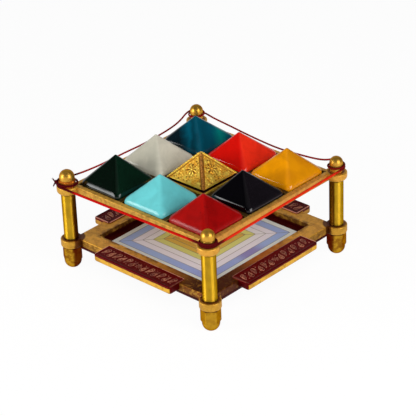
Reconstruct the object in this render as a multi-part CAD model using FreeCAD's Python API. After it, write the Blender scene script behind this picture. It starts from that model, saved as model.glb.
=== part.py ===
import FreeCAD, Part
import math
import os

# A vastu pyramid: nine small pyramids on a cast brass plate, which four posts hold above a
# framed print. Millimetres, +Z up, origin at the middle of the stand on the surface under
# its feet. The four posts stand at the corners: left (-X -Y), front (+X -Y), right (+X +Y)
# and back (-X +Y). The four sides are front_left (-Y), front_right (+X), back_right (+Y)
# and back_left (-X).

V = FreeCAD.Vector

# Posts: a spacer tube on a threaded stud, with a nut at each end. A post's axis stands a little
# outside the castings' corner, measured along each side.
post_beyond_edge = 1.15
tube_diameter = 6.7
tube_wall = 1.0
tube_length = 23.7
stud_diameter = 4.0
thread_fit = 0.05
plate_hole_clearance = 0.15

# Foot nuts, which the stand rests on
foot_flats = 8.2
foot_hex_height = 7.1
foot_collar_height = 0.6
foot_dome_diameter = 8.1
foot_flat_diameter = 4.0
foot_chamfer = 0.5
foot_thread_depth = 7.4

# Top nuts: three alike, and a wider one on the left post
top_flats = 5.6
top_hex_height = 2.8
top_collar_height = 1.5
top_dome_diameter = 6.4
wide_flats = 7.2
wide_collar_height = 1.3
wide_dome_diameter = 7.2
top_chamfer = 0.35
top_thread_depth = 5.2
stud_end_gap = 0.6

# Castings: both are squares with a round ear at each corner
casting_half = 42.6
casting_corner_radius = 1.2
casting_edge_radius = 0.5
casting_thickness = 3.9
ear_diameter = 10.2
ear_edge_radius = 0.6
top_ear_under_radius = 1.7

# Base frame: the open square, and a raised tab over the middle of each side
frame_width = 8.0
tab_length = 48.2
tab_over_frame = 4.2
tab_beyond_edge = 6.2
tab_rise = 0.5
tab_thickness = 3.9
tab_corner_radius = 1.3
tab_edge_radius = 0.5
tab_under_radius = 1.1
tab_lip = 0.75
enamel_depth = 0.5
enamel_below_lip = 0.1
enamel_clearance = 0.05

# Backing board glued under the frame, and the print on it
board_thickness = 1.0
board_ear_clearance = 0.4
print_margin = 3.6
print_thickness = 0.3

# Nine pyramids in square pockets, which share out the plate inside its border
plate_border = 2.64
pyramid_gap = 2.46
pyramid_height = 13.8
pyramid_lip = 2.0
pyramid_corner_radius = 1.3
pyramid_shoulder_radius = 1.6
pyramid_tip_half = 0.5
pocket_depth = 0.8
pocket_clearance = 0.15

# Centre pyramid: brass, a smaller pyramid on a plinth, with a ridge down each corner
plinth_height = 1.9
plinth_corner_radius = 0.7
plinth_step = 1.2
centre_height = 14.0
centre_groove_depth = 0.5
centre_groove_height = 0.4
ridge_width = 1.5
ridge_height = 0.45

# Red thread: once round the stand, with a winding at each post
thread_diameter = 0.9
thread_on_ear = 0.1
winding_clearance = 0.06
winding_pitch = 1.02
neck_clearance = 0.15
back_right_sag = 5.0
back_left_sag = 4.7
knot_diameter = 2.4
knot_tail_length = 3.2
knot_tail_droop = 1.3
knot_strand_rise = 0.18
winding_turns = 1.25
knot_winding_turns = 1.125

# Shares of the span from its first post, each with its share of the sag
back_right_route_shares = [
    (0.05, 0.01), (0.11, 0.46), (0.18, 0.70), (0.29, 0.86), (0.43, 1.01), (0.56, 0.88),
    (0.68, 0.67), (0.80, 0.41), (0.91, 0.22), (0.965, 0.01),
]
back_left_route_shares = [
    (0.035, 0.03), (0.09, 0.58), (0.16, 0.84), (0.27, 0.98), (0.40, 1.01), (0.52, 0.89),
    (0.66, 0.86), (0.76, 0.77), (0.86, 0.58), (0.93, 0.34), (0.97, 0.04),
]

# Sizes along the sides that follow
post_offset = casting_half + post_beyond_edge
opening_half = casting_half - frame_width
tab_inner_offset = casting_half - tab_over_frame
tab_outer_offset = casting_half + tab_beyond_edge
print_half = opening_half - print_margin
pyramid_base = 2 * (casting_half - plate_border - pyramid_gap) / 3
pyramid_pitch = pyramid_base + pyramid_gap
centre_base = pyramid_base - 2 * plinth_step

# Heights that follow
foot_height = (foot_hex_height + foot_collar_height
               + math.sqrt((foot_dome_diameter / 2) ** 2 - (foot_flat_diameter / 2) ** 2))
base_low = foot_height
base_high = base_low + casting_thickness
top_low = base_high + tube_length
top_high = top_low + casting_thickness
seat_height = top_high - pocket_depth
tab_high = base_high + tab_rise
tab_low = tab_high - tab_thickness

# Half widths and radii that follow
pyramid_half = pyramid_base / 2
ear_radius = ear_diameter / 2
foot_corner_radius = foot_flats / math.sqrt(3)
overrun = casting_thickness

POSTS = {"left": (-1, -1), "front": (1, -1), "right": (1, 1), "back": (-1, 1)}
# Each top nut: its flats, its collar's height and its dome's diameter
TOP_NUTS = {
    "left": (wide_flats, wide_collar_height, wide_dome_diameter),
    "front": (top_flats, top_collar_height, top_dome_diameter),
    "right": (top_flats, top_collar_height, top_dome_diameter),
    "back": (top_flats, top_collar_height, top_dome_diameter),
}
SIDES = {"front_left": 0, "front_right": 90, "back_right": 180, "back_left": 270}
STONES = {
    (-1, -1): "dark_green", (0, -1): "turquoise", (1, -1): "red",
    (-1, 0): "white", (1, 0): "black",
    (-1, 1): "teal", (0, 1): "coral", (1, 1): "amber",
}


def post_at(signs, height=0):
    return V(signs[0] * post_offset, signs[1] * post_offset, height)


def cylinder(radius, low, high, x=0, y=0):
    return Part.makeCylinder(radius, high - low, V(x, y, low))


def slab(x_half, y_half, low, high):
    return Part.makeBox(2 * x_half, 2 * y_half, high - low, V(-x_half, -y_half, low))


def round_upright_edges(shape, radius):
    """Rounds the edges of a slab that run along Z."""
    upright = [e for e in shape.Edges if abs(e.tangentAt(e.FirstParameter).z) > math.cos(math.radians(1))]
    return shape.makeFillet(radius, upright)


def round_rims(shape, radius, ends=(-1, 1)):
    """Rounds the edges of a slab that lie flat, at its bottom (end -1) and its top (end 1)."""
    box = shape.BoundBox
    rims = [e for e in shape.Edges if e.BoundBox.ZLength < box.ZLength / 2
            and math.copysign(1, e.BoundBox.Center.z - box.Center.z) in ends]
    return shape.makeFillet(radius, rims)


def turned(outline):
    """A solid of revolution about Z from (radius, height) points, or 3-point arcs, in order."""
    edges = []
    for piece in outline:
        points = [V(r, 0, z) for r, z in piece]
        if len(points) == 3:
            edges.append(Part.Arc(*points).toShape())
        else:
            edges.append(Part.LineSegment(*points).toShape())
    face = Part.Face(Part.Wire(edges))
    return face.revolve(V(0, 0, 0), V(0, 0, 1), 360)


def hexagon_prism(flats, height):
    corner = flats / math.sqrt(3)
    points = [V(corner * math.cos(math.radians(a)), corner * math.sin(math.radians(a)), 0)
              for a in range(0, 361, 60)]
    return Part.Face(Part.makePolygon(points)).extrude(V(0, 0, height))


def acorn_nut(flats, hex_height, collar, dome, flat, chamfer, depth):
    """A nut that stands on its seat at z = 0, with its dome up and a blind hole from below."""
    corner = flats / math.sqrt(3)
    dome_radius = dome / 2
    flat_radius = flat / 2
    centre = hex_height + collar
    crown = math.sqrt(dome_radius ** 2 - flat_radius ** 2)
    half_angle = math.atan2(crown, flat_radius) / 2
    middle = (dome_radius * math.cos(half_angle), centre + dome_radius * math.sin(half_angle))
    skirt = [
        [(0, 0), (corner - chamfer, 0)],
        [(corner - chamfer, 0), (corner, chamfer)],
        [(corner, chamfer), (corner, hex_height - chamfer)],
        [(corner, hex_height - chamfer), (corner - chamfer, hex_height)],
        [(corner - chamfer, hex_height), (0, hex_height)],
        [(0, hex_height), (0, 0)],
    ]
    cap = [
        [(0, hex_height), (dome_radius, hex_height)],
        [(dome_radius, hex_height), (dome_radius, centre)],
        [(dome_radius, centre), middle, (flat_radius, centre + crown)],
    ]
    if flat_radius:
        cap.append([(flat_radius, centre + crown), (0, centre + crown)])
    cap.append([(0, centre + crown), (0, hex_height)])
    nut = turned(skirt).common(hexagon_prism(flats, hex_height)).fuse(turned(cap))
    hole = cylinder(stud_diameter / 2 + thread_fit, -overrun, depth)
    return nut.cut(hole)


def top_nut(name):
    flats, collar, dome = TOP_NUTS[name]
    nut = acorn_nut(flats, top_hex_height, collar, dome, 0, top_chamfer, top_thread_depth)
    nut.translate(post_at(POSTS[name], top_high))
    return nut


def foot_nut(signs):
    nut = acorn_nut(foot_flats, foot_hex_height, foot_collar_height, foot_dome_diameter,
                    foot_flat_diameter, foot_chamfer, foot_thread_depth)
    nut.rotate(V(0, 0, 0), V(1, 0, 0), 180)
    nut.translate(post_at(signs, base_low))
    return nut


def post_tube(signs):
    centre = post_at(signs)
    outer = cylinder(tube_diameter / 2, base_high, top_low, centre.x, centre.y)
    bore = cylinder(tube_diameter / 2 - tube_wall, base_low, top_high, centre.x, centre.y)
    return outer.cut(bore)


def post_stud(signs):
    centre = post_at(signs)
    low = base_low - foot_thread_depth + stud_end_gap
    high = top_high + top_thread_depth - stud_end_gap
    return cylinder(stud_diameter / 2, low, high, centre.x, centre.y)


def eared_casting(low, under_radius):
    """The square slab with an ear at each post and a hole through each ear, whose lower edge
    has a rounding of its own."""
    high = low + casting_thickness
    body = round_upright_edges(slab(casting_half, casting_half, low, high), casting_corner_radius)
    body = round_rims(body, casting_edge_radius)
    hole_radius = stud_diameter / 2 + plate_hole_clearance
    for signs in POSTS.values():
        centre = post_at(signs)
        ear = cylinder(ear_radius, low, high, centre.x, centre.y)
        ear = round_rims(round_rims(ear, ear_edge_radius, (1,)), under_radius, (-1,))
        body = body.fuse(ear)
    for signs in POSTS.values():
        centre = post_at(signs)
        body = body.cut(cylinder(hole_radius, low - overrun, high + overrun, centre.x, centre.y))
    return body.removeSplitter()


def tab_block(length, inner, outer, low, high):
    """A block along the front_left side, from one offset to another."""
    return Part.makeBox(length, outer - inner, high - low, V(-length / 2, -outer, low))


def turned_to(shape, side):
    copy = shape.copy()
    copy.rotate(V(0, 0, 0), V(0, 0, 1), SIDES[side])
    return copy


def tab_pocket(clearance, low, high):
    """The room inside the lip of the front_left tab, or what fits it with a clearance."""
    margin = tab_lip + clearance
    return tab_block(tab_length - 2 * margin, tab_inner_offset + margin, tab_outer_offset - margin,
                     low, high)


def base_frame():
    frame = eared_casting(base_low, ear_edge_radius)
    frame = frame.cut(slab(opening_half, opening_half, base_low - overrun, base_high + overrun))
    tab = tab_block(tab_length, tab_inner_offset, tab_outer_offset, tab_low, tab_high)
    tab = round_upright_edges(tab, tab_corner_radius)
    tab = round_rims(round_rims(tab, tab_edge_radius, (1,)), tab_under_radius, (-1,))
    pocket = tab_pocket(0, tab_high - enamel_depth, tab_high + overrun)
    for side in SIDES:
        frame = frame.fuse(turned_to(tab, side))
    for side in SIDES:
        frame = frame.cut(turned_to(pocket, side))
    return frame.removeSplitter()


def enamel_panel(side):
    floor = tab_high - enamel_depth
    return turned_to(tab_pocket(enamel_clearance, floor, tab_high - enamel_below_lip), side)


def backing_board():
    board = slab(casting_half, casting_half, base_low - board_thickness, base_low)
    for signs in POSTS.values():
        centre = post_at(signs)
        notch = cylinder(foot_corner_radius + board_ear_clearance, base_low - board_thickness - overrun,
                         base_low + overrun, centre.x, centre.y)
        board = board.cut(notch)
    return board


def print_card():
    return slab(print_half, print_half, base_low, base_low + print_thickness)


def top_plate():
    plate = eared_casting(top_low, top_ear_under_radius)
    pocket_half = pyramid_half + pocket_clearance
    for column in (-1, 0, 1):
        for row in (-1, 0, 1):
            pocket = slab(pocket_half, pocket_half, seat_height, top_high + overrun)
            pocket.translate(V(column * pyramid_pitch, row * pyramid_pitch, 0))
            plate = plate.cut(pocket)
    return plate


def rounded_square(half, radius, height):
    """A square wire with rounded corners, level at a height."""
    edges = []
    flat = half - radius
    for quarter in range(4):
        turn = FreeCAD.Rotation(V(0, 0, 1), quarter * 90)
        side = [turn.multVec(V(half, y, height)) for y in (-flat, flat)]
        bend = radius * math.cos(math.radians(45))
        corner = [turn.multVec(V(flat + a, flat + b, height))
                  for a, b in ((radius, 0), (bend, bend), (0, radius))]
        edges.append(Part.LineSegment(*side).toShape())
        edges.append(Part.Arc(*corner).toShape())
    return Part.Wire(edges)


def shoulder_profile(half, lip, height, shoulder, steps=4):
    """(half width, height) up one side: the lip, a rounded shoulder, then the slope."""
    slope = math.atan2(height - lip, half - pyramid_tip_half)
    reach = shoulder * math.tan(slope_turn(slope) / 2)
    turn = slope_turn(slope)
    points = [(half, 0)]
    for step in range(steps + 1):
        angle = turn * step / steps
        points.append((half - shoulder * (1 - math.cos(angle)),
                       lip - reach + shoulder * math.sin(angle)))
    points.append((pyramid_tip_half, height))
    return points


def slope_turn(slope):
    """How far the side turns from upright to the slope of the face."""
    return math.radians(90) - slope


def stone_pyramid(column, row):
    """A polished pyramid with a rounded lower lip, rounded corners and a blunt tip."""
    wires = []
    for half, height in shoulder_profile(pyramid_half, pyramid_lip, pyramid_height,
                                         pyramid_shoulder_radius):
        radius = pyramid_corner_radius * half / pyramid_half
        wires.append(rounded_square(half, radius, height))
    stone = Part.makeLoft(wires, True, True)
    stone.translate(V(column * pyramid_pitch, row * pyramid_pitch, seat_height))
    return stone


def corner_ridge(half, low, high):
    """A flat-topped strip up one corner of the centre pyramid, standing on its two faces."""
    foot = V(half, half, low)
    tip = V(pyramid_tip_half, pyramid_tip_half, high)
    along = (tip - foot).normalize()
    across = V(1, -1, 0).normalize()
    out = across.cross(along).normalize()
    if out.z < 0:
        out = -out
    sink = ridge_width
    corners = [foot - across * (ridge_width / 2) - out * sink,
               foot + across * (ridge_width / 2) - out * sink,
               foot + across * (ridge_width / 2) + out * ridge_height,
               foot - across * (ridge_width / 2) + out * ridge_height]
    face = Part.Face(Part.makePolygon(corners + corners[:1]))
    return face.extrude(tip - foot)


def centre_pyramid():
    """The brass pyramid in the middle, on its plinth."""
    plinth = Part.Face(rounded_square(pyramid_half, plinth_corner_radius, 0))
    plinth = plinth.extrude(V(0, 0, plinth_height))
    half = centre_base / 2
    neck = slab(half - centre_groove_depth, half - centre_groove_depth,
                plinth_height - centre_groove_height, plinth_height + centre_groove_height)
    low = plinth_height + centre_groove_height
    corner = plinth_corner_radius
    wires = [rounded_square(half, corner, low),
             rounded_square(pyramid_tip_half, corner * pyramid_tip_half / half, centre_height)]
    body = Part.makeLoft(wires, True, True)
    limit = slab(half, half, low, centre_height)
    for quarter in range(4):
        ridge = corner_ridge(half, low, centre_height).common(limit)
        ridge.rotate(V(0, 0, 0), V(0, 0, 1), 90 * quarter)
        body = body.fuse(ridge)
    pyramid = plinth.fuse(neck).fuse(body).removeSplitter()
    pyramid.translate(V(0, 0, seat_height))
    return pyramid


def arc_edge(start, heading, end):
    """The arc that leaves the start along a heading and reaches the end, or a line if straight."""
    chord = end - start
    side = heading - chord * (heading.dot(chord) / chord.dot(chord))
    if side.Length < straight_share:
        return Part.LineSegment(start, end).toShape()
    rise = chord.Length / 2 * math.tan(heading.getAngle(chord) / 2)
    middle = (start + end) / 2 + side.normalize() * rise
    return Part.Arc(start, middle, end).toShape()


def biarc_edges(start, heading, end, end_heading):
    """Two arcs that join two points and keep the headings at both."""
    step = end - start
    total = heading + end_heading
    spread = 1 - heading.dot(end_heading)
    along = step.dot(total)
    reach = (math.sqrt(along ** 2 + 2 * spread * step.dot(step)) - along) / (2 * spread)
    middle = (start + end + (heading - end_heading) * reach) / 2
    middle_heading = (middle - start - heading * reach).normalize()
    return [arc_edge(start, heading, middle), arc_edge(middle, middle_heading, end)]


def rounded_route(points):
    """Straight runs joined by arcs, each as large as its two runs allow, and their radii."""
    edges = []
    radii = []
    here = points[0]
    for before, corner, after in zip(points, points[1:], points[2:]):
        run_in = corner - before
        run_out = after - corner
        cut = min(run_in.Length, run_out.Length) * arc_run_share
        radii.append(cut / math.tan(run_in.getAngle(run_out) / 2))
        heading = V(run_in).normalize()
        first = corner - heading * cut
        last = corner + V(run_out).normalize() * cut
        edges.append(Part.LineSegment(here, first).toShape())
        edges.append(arc_edge(first, heading, last))
        here = last
    edges.append(Part.LineSegment(here, points[-1]).toShape())
    return edges, radii


def tube_along(edges):
    """A round tube of the thread's size along joined edges."""
    path = Part.Wire(edges)
    start = edges[0].firstVertex().Point
    heading = edges[0].tangentAt(edges[0].FirstParameter)
    ring = Part.Wire(Part.makeCircle(thread_diameter / 2, start, heading))
    shell = Part.BRepOffsetAPI.MakePipeShell(path)
    shell.add(ring, False, False)
    shell.build()
    shell.makeSolid()
    return shell.shape()


arc_run_share = 0.45
quarter_turn_share = 0.25
tangent_step_share = 0.0025
straight_share = 1e-6
draw_in_power = 5
around_thread = thread_diameter / 2 + winding_clearance
winding_radius = top_flats / math.sqrt(3) + around_thread
wide_winding_radius = wide_flats / math.sqrt(3) + around_thread
neck_radius = top_dome_diameter / 2 + around_thread
low_turn = top_high + thread_diameter / 2 + thread_on_ear
high_turn = low_turn + winding_turns * winding_pitch
knot_turn = low_turn + knot_winding_turns * winding_pitch
neck_turn = top_high + top_hex_height + thread_diameter / 2 + neck_clearance
under_neck_turn = neck_turn - winding_turns * winding_pitch

# Each winding: its first angle in degrees, its turns, and its first and last height and radius
WINDINGS = {
    "left": (225, knot_winding_turns, knot_turn, low_turn, wide_winding_radius, wide_winding_radius),
    "front": (270, winding_turns, high_turn, low_turn, winding_radius, winding_radius),
    "right": (0, winding_turns, under_neck_turn, neck_turn, winding_radius, neck_radius),
    "back": (90, winding_turns, under_neck_turn, neck_turn, winding_radius, neck_radius),
}


def winding_point(name, share):
    """The point of a winding at a share of its length, counted in turns about its post."""
    start, turns, z_start, z_end, r_start, r_end = WINDINGS[name]
    angle = math.radians(start + 360 * turns * share)
    radius = r_start + (r_end - r_start) * share ** draw_in_power
    height = z_start + (z_end - z_start) * share
    return post_at(POSTS[name], height) + V(radius * math.cos(angle), radius * math.sin(angle), 0)


def span_ends():
    """The two ends of each free stretch, where the windings' straight tails stop."""
    return {
        "front_left": (winding_point("left", 1), winding_point("front", 0)),
        "front_right": (winding_point("front", 1), winding_point("right", 0)),
        "back_right": (winding_point("right", 1), winding_point("back", 0)),
        "back_left": (winding_point("back", 1), knot_entry()),
    }


def knot_entry():
    """Where the last stretch first touches the left post's winding circle."""
    return post_at(POSTS["left"], knot_turn + knot_strand_rise) + V(-wide_winding_radius, 0, 0)


def span_route(side):
    """The corner points of a free stretch: straight in front, slack behind."""
    start, end = span_ends()[side]
    shares, sag = {
        "front_left": ([], 0), "front_right": ([], 0),
        "back_right": (back_right_route_shares, back_right_sag),
        "back_left": (back_left_route_shares, back_left_sag),
    }[side]
    points = [start]
    for along, drop in shares:
        points.append(start + (end - start) * along - V(0, 0, drop * sag))
    return points + [end]


def headings(side):
    """The directions in which a free stretch starts and ends."""
    route = span_route(side)
    return (route[1] - route[0]).normalize(), (route[-1] - route[-2]).normalize()


def winding(name, side_before, side_after):
    """A winding of quarter-turn biarcs, with a straight tail where a free stretch follows."""
    turns = WINDINGS[name][1]
    count = max(1, round(turns / quarter_turn_share))
    places = [winding_point(name, step / count) for step in range(count + 1)]
    nudge = tangent_step_share / count
    directions = []
    for step in range(count + 1):
        ahead = winding_point(name, min(1, step / count + nudge))
        behind = winding_point(name, max(0, step / count - nudge))
        directions.append((ahead - behind).normalize())
    edges = []
    if side_before:
        directions[0] = headings(side_before)[1]
        edges.append(Part.LineSegment(places[0] - directions[0] * thread_diameter, places[0]).toShape())
    directions[-1] = headings(side_after)[0]
    for step in range(count):
        edges += biarc_edges(places[step], directions[step], places[step + 1], directions[step + 1])
    edges.append(Part.LineSegment(places[-1], places[-1] + directions[-1] * thread_diameter).toShape())
    return edges


def free_stretch(side):
    """The edges of one free stretch between two windings' tails, and the radii of its arcs."""
    route = span_route(side)
    first, last = headings(side)
    route[0] = route[0] + first * thread_diameter
    if side != "back_left":
        route[-1] = route[-1] - last * thread_diameter
    if len(route) == 2:
        return [Part.LineSegment(*route).toShape()], []
    edges, radii = rounded_route(route)
    if side == "back_left":
        angle = math.radians(WINDINGS["left"][0])
        end = knot_centre(0) + V(-math.sin(angle), math.cos(angle), 0) * (-thread_diameter / 2)
        heading = V(-math.sin(angle), math.cos(angle), 0)
        edges += biarc_edges(route[-1], last, end, heading)
    return edges, radii


def knot_centre(outwards):
    """The knot's place on the left post's winding, moved out from the post."""
    start = winding_point("left", 0)
    away = start - post_at(POSTS["left"], start.z)
    return start + away.normalize() * outwards


def thread_knot():
    """The knot at the left post, with its two short tails."""
    radius = knot_diameter / 2
    centre = knot_centre(thread_diameter / 2)
    knot = Part.makeSphere(radius, centre)
    away = (knot_centre(1) - knot_centre(0)).normalize()
    for rise in (1, -1):
        heading = (away * knot_tail_length + V(0, 0, rise * knot_tail_droop)).normalize()
        tail = Part.makeCylinder(thread_diameter / 2, knot_tail_length, centre, heading)
        knot = knot.fuse(tail)
    return knot.removeSplitter()


def least_gap(edges, turns):
    """The least space between a winding and itself, measured on points a half turn or more apart."""
    count = 60
    path = Part.Wire(edges)
    places = path.discretize(int(count * turns) + 2)
    least = None
    for i, place in enumerate(places):
        for other in places[i + count // 2:]:
            space = place.distanceToPoint(other) - thread_diameter
            least = space if least is None else min(least, space)
    return least


def thread_parts():
    """The thread's four windings, four free stretches and knot, with a printed check of each."""
    shapes = {}
    section = math.pi * (thread_diameter / 2) ** 2
    whole = 0
    order = [("left", None, "front_left"), ("front", "front_left", "front_right"),
             ("right", "front_right", "back_right"), ("back", "back_right", "back_left")]
    for name, before, after in order:
        edges = winding(name, before, after)
        length = sum(e.Length for e in edges)
        shapes["thread_winding_" + name] = tube_along(edges)
        volume = shapes["thread_winding_" + name].Volume
        whole += length
        print("winding", name, "length", round(length, 2), "volume ratio", round(volume / section / length, 4),
              "least gap", round(least_gap(edges, WINDINGS[name][1]), 3))
    for side in SIDES:
        edges, radii = free_stretch(side)
        length = sum(e.Length for e in edges)
        shapes["thread_stretch_" + side] = tube_along(edges)
        volume = shapes["thread_stretch_" + side].Volume
        whole += length
        print("stretch", side, "length", round(length, 2), "volume ratio", round(volume / section / length, 4),
              "arc radii", [round(r, 1) for r in radii])
    shapes["thread_knot"] = thread_knot()
    print("thread length", round(whole, 1))
    return shapes


def all_parts():
    shapes = {"base_frame": base_frame(), "backing_board": backing_board(), "print_card": print_card(),
              "top_plate": top_plate(), "pyramid_brass_centre": centre_pyramid()}
    for (column, row), colour in STONES.items():
        shapes["pyramid_" + colour] = stone_pyramid(column, row)
    for side in SIDES:
        shapes["enamel_panel_" + side] = enamel_panel(side)
    for name, signs in POSTS.items():
        shapes["post_tube_" + name] = post_tube(signs)
        shapes["post_stud_" + name] = post_stud(signs)
        shapes["top_nut_" + name] = top_nut(name)
        shapes["foot_nut_" + name] = foot_nut(signs)
    shapes.update(thread_parts())
    return shapes


os.makedirs("parts", exist_ok=True)
for node, shape in all_parts().items():
    solid = shape.Solids[0]
    solid.exportStep("parts/" + node + ".step")
    print(node, "solids", len(shape.Solids), "valid", solid.isValid(), "volume", round(solid.Volume, 2))
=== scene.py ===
"""A vastu pyramid: nine small pyramids on a brass stand, with a printed card below.

The meshes are in metres. The sizes in the code are millimetres, which MM turns into metres.
"""
import math

import bpy
import numpy as np
from bpy.props import FloatProperty, FloatVectorProperty, IntProperty, PointerProperty
from mathutils import Matrix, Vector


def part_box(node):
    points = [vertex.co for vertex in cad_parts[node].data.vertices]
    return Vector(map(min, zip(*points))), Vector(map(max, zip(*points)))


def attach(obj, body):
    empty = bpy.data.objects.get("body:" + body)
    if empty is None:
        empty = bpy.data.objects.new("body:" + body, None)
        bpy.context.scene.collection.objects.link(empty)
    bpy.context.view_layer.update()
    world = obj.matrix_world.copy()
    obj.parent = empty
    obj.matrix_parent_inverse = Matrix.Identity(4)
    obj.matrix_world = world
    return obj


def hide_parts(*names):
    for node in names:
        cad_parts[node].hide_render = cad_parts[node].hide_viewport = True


bl_info = {
    "name": "Vastu pyramid",
    "version": (1, 0, 0),
    "blender": (4, 5, 0),
    "location": "View3D > Sidebar > Vastu",
    "description": "Dresses the solids of a small brass stand with nine pyramids",
    "category": "Object",
}

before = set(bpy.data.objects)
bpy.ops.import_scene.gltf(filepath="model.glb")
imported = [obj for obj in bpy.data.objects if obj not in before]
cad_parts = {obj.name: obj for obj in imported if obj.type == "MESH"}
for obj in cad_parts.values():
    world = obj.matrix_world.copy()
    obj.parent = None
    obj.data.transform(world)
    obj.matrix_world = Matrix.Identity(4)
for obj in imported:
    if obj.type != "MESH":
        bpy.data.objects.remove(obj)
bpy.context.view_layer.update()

MM = 0.001
FULL = 2 * math.pi
POSTS = {"left": (-1, -1), "front": (1, -1), "right": (1, 1), "back": (-1, 1)}
SIDES = {"front_left": 0, "front_right": 90, "back_right": 180, "back_left": 270}
# Per stone: its cell of the grid, how far its tip leans in X and Y and rises, its kind, and the
# display colour of its +X side, which is painted light and shade
STONES = {
    "dark_green": ((-1, -1), (-0.10, -0.10, 1.17), "dark", (4, 31, 18)),
    "turquoise": ((0, -1), (0.17, 0.16, 0.0), "cloudy", (102, 196, 200)),
    "red": ((1, -1), (-0.51, -0.48, -0.32), "speckled", (150, 4, 5)),
    "white": ((-1, 0), (-0.57, -0.55, 0.64), "cloudy", (210, 205, 187)),
    "black": ((1, 0), (-1.08, -1.03, 0.0), "dark", (17, 13, 18)),
    "teal": ((-1, 1), (-0.78, -0.74, -0.27), "banded", (0, 68, 86)),
    "coral": ((0, 1), (-0.64, -0.61, -0.32), "cloudy", (242, 48, 24)),
    "amber": ((1, 1), (0.34, 0.32, 0.0), "marbled", (219, 141, 4)),
}


def extent(node):
    """The lowest and highest corner of a solid, in millimetres."""
    return [np.array(corner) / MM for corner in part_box(node)]


def tone(red, green, blue):
    """Linear colour from a display colour of 0 to 255."""
    shares = np.array([red, green, blue]) / 255
    return tuple(np.where(shares <= 0.04045, shares / 12.92, ((shares + 0.055) / 1.055) ** 2.4))


def shade_of(colour, factor):
    return tuple(min(1.0, channel * factor) for channel in colour)


def colour_property(name, description, display):
    return FloatVectorProperty(name=name, description=description, subtype="COLOR", size=3,
                               min=0, max=1, default=tone(*display))


def length_property(name, description, millimetres):
    return FloatProperty(name=name, description=description, unit="LENGTH", precision=5,
                         default=millimetres * MM)


POST_OFFSET = float(extent("post_tube_right")[1][0] + extent("post_tube_right")[0][0]) / 2
BASE_HIGH, TUBE_HIGH = (float(corner[2]) for corner in extent("post_tube_left"))
TOP_HIGH = float(extent("top_plate")[1][2])
BASE_LOW = float(extent("print_card")[0][2])
# The base frame: the half widths of its opening and its square, where a tab starts and ends on its
# way out, and a tab's half length
OPENING, FRAME_HALF, TAB_INNER, TAB_OUTER, TAB_END = 34.6, 42.6, 38.4, 48.8, 24.1
TAB_HIGH = BASE_HIGH + 0.5
TAB_LOW = TAB_HIGH - 3.9
CARD_HALF = 31
# The top nuts: across the flats, the collar's height and the dome's diameter, and the hexagon's height
SMALL_NUT, LEFT_NUT, HEXAGON = (5.6, 1.5, 6.4), (7.2, 1.3, 7.2), 2.8


class VASTU_PG_thread(bpy.types.PropertyGroup):
    diameter: length_property("Diameter", "Thickness of the thread", 0.9)
    lay: length_property("Lay", "Length of one full twist of the strands", 3.2)
    strands: IntProperty(name="Strands", description="Strands twisted together", default=3, min=2, max=6)
    colour: colour_property("Red", "Colour of the thread", (198, 16, 9))


class VASTU_PG_stones(bpy.types.PropertyGroup):
    shoulder: length_property("Shoulder", "Radius between the lip and the slopes", 3.8)
    dark_green: colour_property("Dark green", "Colour of the dark green stone", (0, 12, 4))
    turquoise: colour_property("Turquoise", "Colour of the turquoise stone", (107, 203, 206))
    red: colour_property("Red", "Colour of the red stone", (160, 8, 6))
    white: colour_property("White", "Colour of the white stone", (196, 192, 174))
    black: colour_property("Black", "Colour of the black stone", (1, 0, 3))
    teal: colour_property("Teal", "Colour of the teal stone", (0, 68, 86))
    coral: colour_property("Coral", "Colour of the coral stone", (218, 16, 6))
    amber: colour_property("Amber", "Colour of the amber stone", (246, 159, 0))


class VASTU_PG_metal(bpy.types.PropertyGroup):
    polished: colour_property("Polished brass", "Colour of the tubes and nuts", (220, 172, 42))
    cast: colour_property("Cast brass", "Colour of the castings", (226, 168, 62))
    patina: colour_property("Patina", "Colour of the dirt in the hollows", (66, 32, 12))
    enamel: colour_property("Enamel", "Colour of the enamel and the painted board", (90, 2, 7))
    relief: length_property("Relief", "Height of the embossing on the centre pyramid", 0.36)


class VASTU_PG_stage(bpy.types.PropertyGroup):
    azimuth: FloatProperty(name="Azimuth", description="Camera angle round the stand", default=43.525)
    elevation: FloatProperty(name="Elevation", description="Camera angle above the floor", default=28.779)
    roll: FloatProperty(name="Roll", description="Camera tilt, in degrees", default=-2.252)
    distance: length_property("Distance", "From the camera to the stand", 894.466)
    lens: FloatProperty(name="Lens", description="Focal length in millimetres", default=36 * 1927.274 / 416)


# Shapes


def around(count):
    """Angles at an even spacing round a full turn."""
    return np.arange(count) / count * FULL


def stacked(*columns):
    """Points from their columns, which are broadcast against each other."""
    return np.stack(np.broadcast_arrays(*columns), -1)


def polar(radius, angle, height=0.0):
    """Points from their distance to the Z axis, their angle round it and their height."""
    return stacked(radius * np.cos(angle), radius * np.sin(angle), height)


def unit(vectors):
    return vectors / np.linalg.norm(vectors, axis=-1, keepdims=True)


def post_axis(post, height=0.0):
    """The point of a post's axis at a height."""
    x, y = POSTS[post]
    return np.array([x * POST_OFFSET, y * POST_OFFSET, height])


def spun(points, degrees):
    """Points turned about Z."""
    cos, sin = math.cos(math.radians(degrees)), math.sin(math.radians(degrees))
    return points @ np.array([[cos, sin, 0], [-sin, cos, 0], [0, 0, 1]])


def shifted(part, move):
    """A part of (vertices, faces, UVs) moved."""
    return part[0] + np.asarray(move), part[1], part[2]


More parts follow.
